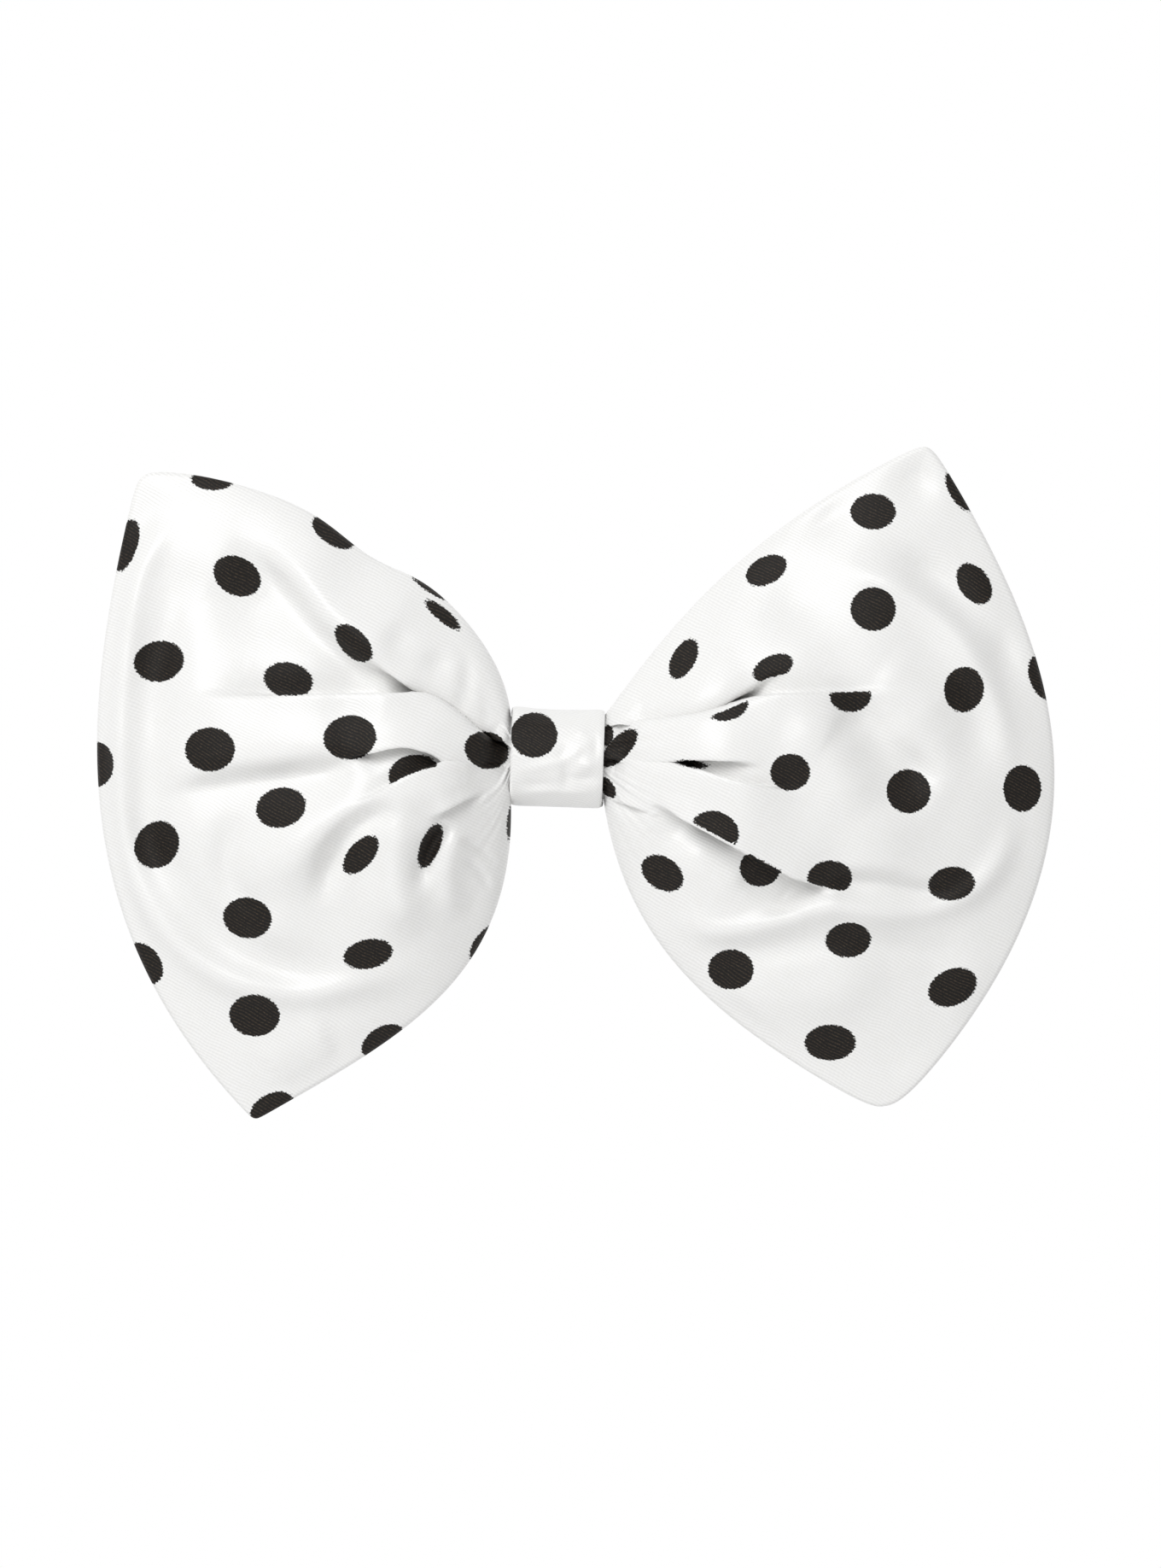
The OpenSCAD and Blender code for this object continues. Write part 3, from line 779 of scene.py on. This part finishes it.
def noise(tree, place, scale, detail, output=0):
    """The output of a new Noise node: 0 is its value and 1 its colour."""
    inputs = {"Vector": place, "Scale": scale, "Detail": detail}
    return node(tree, "ShaderNodeTexNoise", inputs).outputs[output]


def add_bump(tree, shader, height, strength, distance):
    """Raises the surface by a height from 0 to 1, over a distance in millimetres."""
    bump = node(tree, "ShaderNodeBump", {"Height": height, "Strength": strength, "Distance": distance * MM})
    tree.links.new(bump.outputs[0], shader.inputs["Normal"])


def weave_lines(tree, place, angle, pitch):
    """Lines across the cloth, from 0 to 1, at an angle and a pitch in millimetres."""
    direction = (math.cos(angle), math.sin(angle), 0)
    along = node(tree, "ShaderNodeVectorMath", {0: place, 1: direction}, operation="DOT_PRODUCT").outputs[1]
    wave = maths(tree, "SINE", maths(tree, "MULTIPLY", along, 2 * math.pi / pitch))
    return maths(tree, "MULTIPLY_ADD", wave, 0.5, 0.5)


def printed_ink(tree, place, floats):
    """Where the ink lies, from 0 to 1, with threaded edges, and the ink's colour."""
    edge = node(tree, "ShaderNodeAttribute", attribute_name="dot").outputs[2]
    jag = noise(tree, place, 3.6, 2.0)
    edge = maths(tree, "MULTIPLY_ADD", maths(tree, "SUBTRACT", jag, 0.5), DOT_JAG, edge)
    edge = maths(tree, "MULTIPLY_ADD", maths(tree, "SUBTRACT", floats, 0.5), DOT_FRAY, edge)
    ink = node(tree, "ShaderNodeMapRange", {0: edge, 1: -0.05, 2: 0.07, 3: 1.0, 4: 0.0}).outputs[0]
    threads = maths(tree, "MULTIPLY", maths(tree, "POWER", floats, 2.0), maths(tree, "POWER", jag, 3.0))
    return ink, mixed(tree, threads, INK, INK_THREAD)


def satin_material(name):
    """White satin with fine slanted floats, and matte near-black printed dots."""
    material, tree, shader = new_material(name)
    place = node(tree, "ShaderNodeUVMap", uv_map="weave").outputs[0]
    wander = noise(tree, place, 0.25, 1.0, output=1)
    bent = node(tree, "ShaderNodeVectorMath", {0: place, 1: wander}, operation="ADD").outputs[0]
    floats = weave_lines(tree, bent, FLOAT_ANGLE, FLOAT_PITCH)
    cross = weave_lines(tree, bent, CROSS_ANGLE, CROSS_PITCH)
    weave = maths(tree, "MULTIPLY_ADD", cross, CROSS_SHARE, floats)
    shade = maths(tree, "MULTIPLY_ADD", weave, WEAVE_SHADE, DARKEST)
    shade = maths(tree, "MULTIPLY_ADD", noise(tree, place, 3.2, 4.0), SLUB_SHADE, shade)
    grey = node(tree, "ShaderNodeCombineColor", {0: shade, 1: shade, 2: shade}).outputs[0]
    tint = mixed(tree, noise(tree, place, 0.9, 2.0), WARM_WHITE, COOL_WHITE)
    cloth = mixed(tree, 1.0, tint, grey, blend="MULTIPLY")
    ink, ink_colour = printed_ink(tree, place, floats)
    tree.links.new(mixed(tree, ink, cloth, ink_colour), shader.inputs["Base Color"])
    tree.links.new(maths(tree, "MULTIPLY_ADD", ink, INK_ROUGHER, SATIN_ROUGH), shader.inputs["Roughness"])
    shader.inputs["Specular IOR Level"].default_value = SATIN_SPECULAR
    add_bump(tree, shader, weave, 0.4, 0.03)
    return material


def fibre_material(name, colour, scale):
    """Matte fibres: wadding, thread and ribbon."""
    material, tree, shader = new_material(name)
    place = node(tree, "ShaderNodeTexCoord").outputs["Object"]
    fuzz = noise(tree, place, scale, 6.0)
    dark = tuple(FIBRE_DARK * c for c in colour) + (1,)
    tree.links.new(mixed(tree, fuzz, dark, colour + (1,)), shader.inputs["Base Color"])
    shader.inputs["Roughness"].default_value = 0.8
    shader.inputs["Sheen Weight"].default_value = 0.4
    add_bump(tree, shader, fuzz, 0.5, 0.1)
    return material


def steel_material(name, tone, roughness):
    """Nickel-plated steel with drawing lines along X and small handling marks."""
    material, tree, shader = new_material(name)
    place = node(tree, "ShaderNodeTexCoord").outputs["Object"]
    drawn = node(tree, "ShaderNodeMapping", {0: place, 3: (120, 2600, 2600)}).outputs[0]
    lines = noise(tree, drawn, 1.0, 5.0)
    marks = noise(tree, place, 420.0, 3.0)
    dark = tuple(STEEL_DARK * c for c in tone) + (1,)
    tree.links.new(mixed(tree, marks, dark, tone + (1,)), shader.inputs["Base Color"])
    tree.links.new(maths(tree, "MULTIPLY_ADD", lines, 0.18, roughness - 0.06), shader.inputs["Roughness"])
    shader.inputs["Metallic"].default_value = 1.0
    add_bump(tree, shader, lines, 0.25, 0.02)
    return material


def glue_material(name):
    """Hot-melt glue: milky, soft and glossy."""
    material, tree, shader = new_material(name)
    place = node(tree, "ShaderNodeTexCoord").outputs["Object"]
    cloud = noise(tree, place, 500.0, 3.0)
    milky = mixed(tree, cloud, (0.78, 0.75, 0.66, 1), (0.88, 0.86, 0.79, 1))
    tree.links.new(milky, shader.inputs["Base Color"])
    shader.inputs["Roughness"].default_value = 0.3
    return material


SATIN = satin_material("printed_satin")
THREAD = fibre_material("sewing_thread", (0.86, 0.84, 0.79), 9000)
WADDING = fibre_material("wadding", (0.93, 0.93, 0.92), 900)
RIBBON = fibre_material("grosgrain", (0.88, 0.86, 0.82), 2500)
STEEL = steel_material("nickel_steel", (0.56, 0.55, 0.53), 0.22)
SPRING_STEEL = steel_material("spring_wire", (0.42, 0.42, 0.43), 0.18)
GLUE = glue_material("hot_glue")


def paint(piece, material):
    """Gives a piece one material and no other."""
    piece.data.materials.clear()
    piece.data.materials.append(material)


# ---------------------------------------------------------------- the bow's soft pieces
def make_panel(name, node_name, cloth, dots, flip):
    piece = grid_mesh(name, cloth, dot_field(cloth, dots), flip=flip, spread=True)
    paint(piece, SATIN)
    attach(piece, "bow")
    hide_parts(node_name)


def make_pad(name, node_name, lobe, front, back):
    piece = grid_mesh(name, wadding_mesh(lobe, front, back), closed=True)
    paint(piece, WADDING)
    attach(piece, "bow")
    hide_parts(node_name)


def make_lobes():
    """Both panels and both pads. Each number after the folds starts a lobe's own random draws."""
    front_left = lobe_cloth("left", FRONT_PUFF, -1, LEFT_FOLDS, 3)
    front_right = lobe_cloth("right", FRONT_PUFF, -1, RIGHT_FOLDS, 4)
    back_left = lobe_cloth("left", BACK_PUFF, 1, back_folds(-1, 21), 11)
    back_right = lobe_cloth("right", BACK_PUFF, 1, back_folds(1, 22), 12)
    make_pad("left_pad", "left_wadding", "left", front_left, back_left)
    make_pad("right_pad", "right_wadding", "right", front_right, back_right)
    front = panel_cloth(front_left, front_right)
    back = panel_cloth(back_left, back_right)
    make_panel("front_satin", "front_panel", front, LEFT_DOTS + RIGHT_DOTS, False)
    make_panel("back_satin", "back_panel", back, scattered_dots(PANEL_LOW[::2], PANEL_HIGH[::2], 5), True)


def ring_strip(centre, way_out, half_widths, thickness, across):
    """A thick strip along a path: rings of points round its section, closed at both ends."""
    from_end = np.arange(len(centre))
    taper = np.clip(np.minimum(from_end, from_end[::-1]) / STRIP_END, 0, 1) ** 0.5
    t = np.linspace(-1, 1, STRIP_COLUMNS)
    rounded = np.sqrt(1 - np.abs(t) ** STRIP_SQUARE)
    rings = []
    for side, order in ((1, t), (-1, t[::-1])):
        for k, w in enumerate(order):
            lift = (side * 0.5 * thickness * rounded[k] * taper)[:, None] * way_out
            rings.append(centre + lift + (w * half_widths)[:, None] * np.array(across))
    return np.stack(rings)


def tube(path, radius, sides=10, axis=(0, 0, 1)):
    """Rings round a path, closed to a point at both ends."""
    path = np.array(path, float)
    way = np.gradient(path, axis=0)
    way /= np.linalg.norm(way, axis=1)[:, None]
    first = np.cross(way, axis)
    first /= np.linalg.norm(first, axis=1)[:, None] + 1e-9
    second = np.cross(way, first)
    size = np.full(len(path), float(radius))
    size[[0, -1]] = 0
    rings = []
    for k in range(sides):
        a = 2 * math.pi * k / sides
        rings.append(path + size[:, None] * (math.cos(a) * first + math.sin(a) * second))
    return np.stack(rings)


# The band's middle line, y and z: from its inner end behind the clip, over the front and back.
# Its marks, in x and z, are the dents and wrinkles of its face.
BAND_ROUTE = [
    (-6.6, -3.8), (-6.6, 0), (-6.62, 3.2), (-7.0, 4.5), (-8.2, 5.15), (-11.0, 5.95), (-14.5, 6.35),
    (-17.7, 5.5), (-19.99, 3.18), (-20.85, 0), (-19.99, -3.18), (-17.7, -5.5), (-14.5, -6.35),
    (-11.0, -5.95), (-8.2, -5.15), (-6.7, -4.6), (-6.1, -4.1), (-5.87, -3.2), (-5.87, 0), (-5.87, 3.1),
]
BAND_MARKS = [
    Swell(3.3, 3.5, 0.2, 0.8, 0.5), Swell(4.2, -1.0, 0.6, 1.3, 0.75), Swell(1.3, -2.6, -0.5, 0.8, 1.5),
    Swell(3.6, -2.9, -0.4, 1.8, 0.6), Swell(-3.0, -3.6, -0.3, 2.4, 0.8), Swell(0.9, 0.6, -0.2, 1.0, 1.4),
    Swell(5.3, 1.4, -0.35, 0.7, 1.6),
    Ridge([(-6, -1.8), (-2, -1.2), (1, -0.4), (3, 1.2), (4.2, 2.6)], 0.25, 0.6),
    Ridge([(-5.5, -5.0), (-1, -4.6), (3, -4.8), (6, -4.4)], 0.28, 0.6),
    Ridge([(-6, 4.6), (0, 4.3), (6, 4.7)], 0.22, 0.6),
]


def make_band():
    """The folded strip: once round the waist and the clip, lapped over itself behind the clip."""
    line, _ = route(BAND_ROUTE, 0.3)
    centre = np.stack([np.zeros(len(line)), line[:, 0], line[:, 1]], 1)
    way = np.gradient(line, axis=0)
    way /= np.linalg.norm(way, axis=1)[:, None]
    out = np.stack([np.zeros(len(line)), -way[:, 1], way[:, 0]], 1)
    grid = ring_strip(centre, out, np.full(len(line), BAND_HALF), BAND_T, (1, 0, 0))
    x, y, z = grid[..., 0], grid[..., 1], grid[..., 2]
    front = smooth((BAND_FACE_Y - y) / BAND_FACE_EASE)
    high = BAND_TOP_RISE - BAND_TOP_DIP * (1 - (x / BAND_HALF) ** 2) - BAND_EDGE_SLOPE * x
    low = -BAND_BOTTOM_DROP - BAND_EDGE_SLOPE * x
    edges = np.clip(z / BAND_EDGE_Z, 0, 1) * high + np.clip(-z / BAND_EDGE_Z, 0, 1) * low
    grid[..., 2] = z + front * edges
    grid[..., 0] = x + front * BAND_LEAN * z
    flat = grid[..., ::2]
    dents = sum(mark.shape(flat)[0] for mark in BAND_MARKS)
    grid[..., 1] = y - front * np.where(y < WAIST_Y - 2, dents, 0)
    field = np.full(x.shape, OFF_DOT)
    facing = grid[..., 1] < WAIST_Y
    field[facing] = dot_field(grid[facing][:, None], [BAND_DOT])[:, 0]
    behind = grid[..., 1] > LINING_LOW[1]
    field[behind] = dot_field(grid[behind][:, None], BAND_DOTS_BEHIND)[:, 0]
    piece = grid_mesh("band_satin", grid, field, closed=True)
    paint(piece, SATIN)
    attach(piece, "bow")
    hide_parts("centre_band")


def make_lining():
    """Grosgrain ribbon along the top jaw, turned over the end of its lever."""
    outer = (LINING_LOW[1] + JAW_LOW[1]) / 2
    inner = JAW_LOW[1] + JAW_T + RIBBON_T / 2
    end_x = JAW_HIGH[0] + RIBBON_T / 2
    bend = BEND_R + JAW_T + RIBBON_T / 2
    points = [(x, outer + bend - math.sqrt(bend ** 2 - (x - BEND_X) ** 2))
              for x in np.linspace(LINING_LOW[0] + 0.1, BEND_X, 30)]
    points += [(x, outer) for x in np.linspace(BEND_X + 1, end_x - 1.2, 40)]
    points += [(end_x - 0.35, outer + 0.08), (end_x, (outer + inner) / 2), (end_x - 0.35, inner - 0.08)]
    points += [(x, inner) for x in np.linspace(end_x - 1.2, end_x - RIBBON_TURN, 10)]
    line, _ = route(points, 0.1)
    length = np.concatenate([[0], np.cumsum(np.linalg.norm(np.diff(line, axis=0), axis=1))])
    centre = np.stack([line[:, 0], line[:, 1], np.zeros(len(line))], 1)
    way = np.gradient(line, axis=0)
    way /= np.linalg.norm(way, axis=1)[:, None]
    out = np.stack([way[:, 1], -way[:, 0], np.zeros(len(line))], 1)
    from_tip = line[:, 0] - LINING_LOW[0]
    half = RIBBON_HALF - RIBBON_TAPER * (1 - smooth(from_tip / (TAPER_X - LINING_LOW[0])))
    half = np.minimum(half, RIBBON_HALF * np.sqrt(np.clip(from_tip / RIBBON_TIP, 0.02, 1)))
    from_turn = smooth((end_x - line[:, 0]) / RIBBON_NECK)
    half = np.minimum(half, RIBBON_TAPER + (RIBBON_HALF - RIBBON_TAPER) * from_turn)
    ribs = RIBBON_T * (RIB_MIDDLE + RIB_SWELL * np.sin(2 * math.pi * length / RIB_PITCH))
    grid = ring_strip(centre, out, half, ribs, (0, 0, 1))
    piece = grid_mesh("lining_ribbon", grid, closed=True, welded=True)
    paint(piece, RIBBON)
    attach(piece, "bow")
    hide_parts("clip_lining")


def joined(name, grids, material, node_name):
    """Several closed grids as one piece."""
    parts = [grid_mesh(f"{name}_{k}", grid, closed=True, welded=True) for k, grid in enumerate(grids)]
    with bpy.context.temp_override(active_object=parts[0], selected_editable_objects=parts):
        bpy.ops.object.join()
    piece = parts[0]
    piece.name = name
    paint(piece, material)
    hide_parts(node_name)
    return piece


def make_stitches():
    """Whip stitches that pull the band's lap down, each sunk into the cloth at both ends."""
    pitch = (STITCH_HIGH[0] - STITCH_LOW[0] - 2 * STITCH_R) / (STITCHES - 1)
    low, high = STITCH_LOW[2] - STITCH_BELOW, STITCH_HIGH[2] + STITCH_ABOVE
    arch = np.linspace(0, math.pi, 13)
    grids = []
    for k in range(STITCHES):
        x = STITCH_LOW[0] + STITCH_R + k * pitch + STITCH_SLANT * np.cos(arch)
        y = BAND_BACK - STITCH_SINK + STITCH_LIFT * np.sin(arch)
        z = (low + high) / 2 - (high - low) / 2 * np.cos(arch)
        grids.append(tube(np.stack([x, y, z], 1), STITCH_R, 8, (1, 0, 0)))
    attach(joined("band_thread", grids, THREAD, "band_stitches"), "bow")


def make_seam():
    """The thread inside each lobe's rim."""
    grids = []
    for name in ("left", "right"):
        _, _, place = lobe_grid(name)
        top = place[SEAM_START:-SEAM_INSET, -SEAM_EDGE - 1]
        side = place[-SEAM_INSET - 1, SEAM_EDGE:-SEAM_EDGE]
        bottom = place[SEAM_START:-SEAM_INSET, SEAM_EDGE]
        edge = np.concatenate([bottom, side, top[:0:-1]])
        path = np.stack([edge[:, 0], np.full(len(edge), WAIST_Y), edge[:, 1]], 1)
        grids.append(tube(path, SEAM_R, 6, (0, 1, 0)))
    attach(joined("rim_thread", grids, THREAD, "seam_thread"), "bow")


def make_spring():
    """The coil on the pin: one leg pushes each lever."""
    pin_x, pin_y = PIN
    steps = COIL_STEPS * COIL_TURNS
    path = [(LEG_X, LEVER_LEG_Y, -COIL_HALF)]
    for k in range(steps + 1):
        a = math.pi / 2 + (2 * math.pi * COIL_TURNS - math.pi) * k / steps
        path.append((pin_x + COIL_R * math.cos(a), pin_y + COIL_R * math.sin(a),
                     COIL_HALF * (2 * k / steps - 1)))
    path.append((LEG_X, PLATE_LEG_Y, COIL_HALF))
    piece = joined("coil_spring", [tube(path, WIRE_R, 12)], SPRING_STEEL, "torsion_spring")
    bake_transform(piece)


make_lobes()
make_band()
make_lining()
make_stitches()
make_seam()
make_spring()
for name, material in {
    "gather_thread": THREAD, "glue_bead": GLUE, "top_jaw": STEEL, "lower_jaw": STEEL, "hinge_pin": STEEL,
}.items():
    paint(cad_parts[name], material)

# ---------------------------------------------------------------- stage
# The camera's lens and the height it takes in, in millimetres
LENS = 120
SENSOR = 36
VIEW_HEIGHT = 215.9
VIEW_CENTRE = (3.2, -3.6)
# The floor and the light, in metres
FLOOR_REACH = 1.6
FLOOR_DROP = 0.42
FLOOR_SIDES = 96
FLOOR_WHITE = (0.96, 0.96, 0.96, 1)
KEY_PLACE = (-0.24, -0.70, 0.42)
KEY_SIZE = 0.5
KEY_WATTS = 4.35
# The world is white behind the bow and dimmer in front of it.
FRONT_FILL = 0.44
FILL_TURN = 0.7


def aim(thing, target):
    """Turns a light to face a place."""
    way = np.array(target) - np.array(thing.location)
    thing.rotation_euler = Vector(way).to_track_quat("-Z", "Y").to_euler()


def make_camera():
    camera = bpy.data.objects.new("camera", bpy.data.cameras.new("camera"))
    bpy.context.scene.collection.objects.link(camera)
    camera.data.lens = LENS
    camera.data.sensor_width = SENSOR
    camera.data.clip_start = 0.01
    distance = LENS / SENSOR * VIEW_HEIGHT
    camera.location = (VIEW_CENTRE[0] * MM, (WAIST_Y - distance) * MM, VIEW_CENTRE[1] * MM)
    camera.rotation_euler = (math.pi / 2, 0, 0)
    bpy.context.scene.camera = camera


def make_key():
    """One large softbox, above and to the left of the camera."""
    light = bpy.data.lights.new("key", "AREA")
    light.shape = "RECTANGLE"
    light.size = KEY_SIZE
    light.size_y = KEY_SIZE
    light.energy = KEY_WATTS
    lamp = bpy.data.objects.new("key", light)
    bpy.context.scene.collection.objects.link(lamp)
    lamp.location = KEY_PLACE
    aim(lamp, (0, 0, 0))


def make_world():
    world = bpy.data.worlds.new("studio")
    bpy.context.scene.world = world
    world.use_nodes = True
    tree = world.node_tree
    way = node(tree, "ShaderNodeTexCoord").outputs["Generated"]
    facing = node(tree, "ShaderNodeSeparateXYZ", {0: way}).outputs[1]
    glow = node(tree, "ShaderNodeMapRange", {0: facing, 1: -FILL_TURN, 2: FILL_TURN, 3: FRONT_FILL, 4: 1.0},
                interpolation_type="SMOOTHSTEP")
    tree.links.new(glow.outputs[0], tree.nodes["Background"].inputs[1])
    tree.nodes["Background"].inputs[0].default_value = (1, 1, 1, 1)


def make_floor():
    mesh = bpy.data.meshes.new("floor")
    turns = np.linspace(0, 2 * math.pi, FLOOR_SIDES, endpoint=False)
    corners = [(FLOOR_REACH * math.cos(a), FLOOR_REACH * math.sin(a), -FLOOR_DROP) for a in turns]
    mesh.from_pydata(corners, [], [range(FLOOR_SIDES)])
    floor = bpy.data.objects.new("floor", mesh)
    bpy.context.scene.collection.objects.link(floor)
    material, _, shader = new_material("pale_floor")
    shader.inputs["Base Color"].default_value = FLOOR_WHITE
    shader.inputs["Roughness"].default_value = 0.8
    paint(floor, material)


make_camera()
make_world()
make_floor()
make_key()
bpy.context.scene.view_settings.view_transform = "Standard"
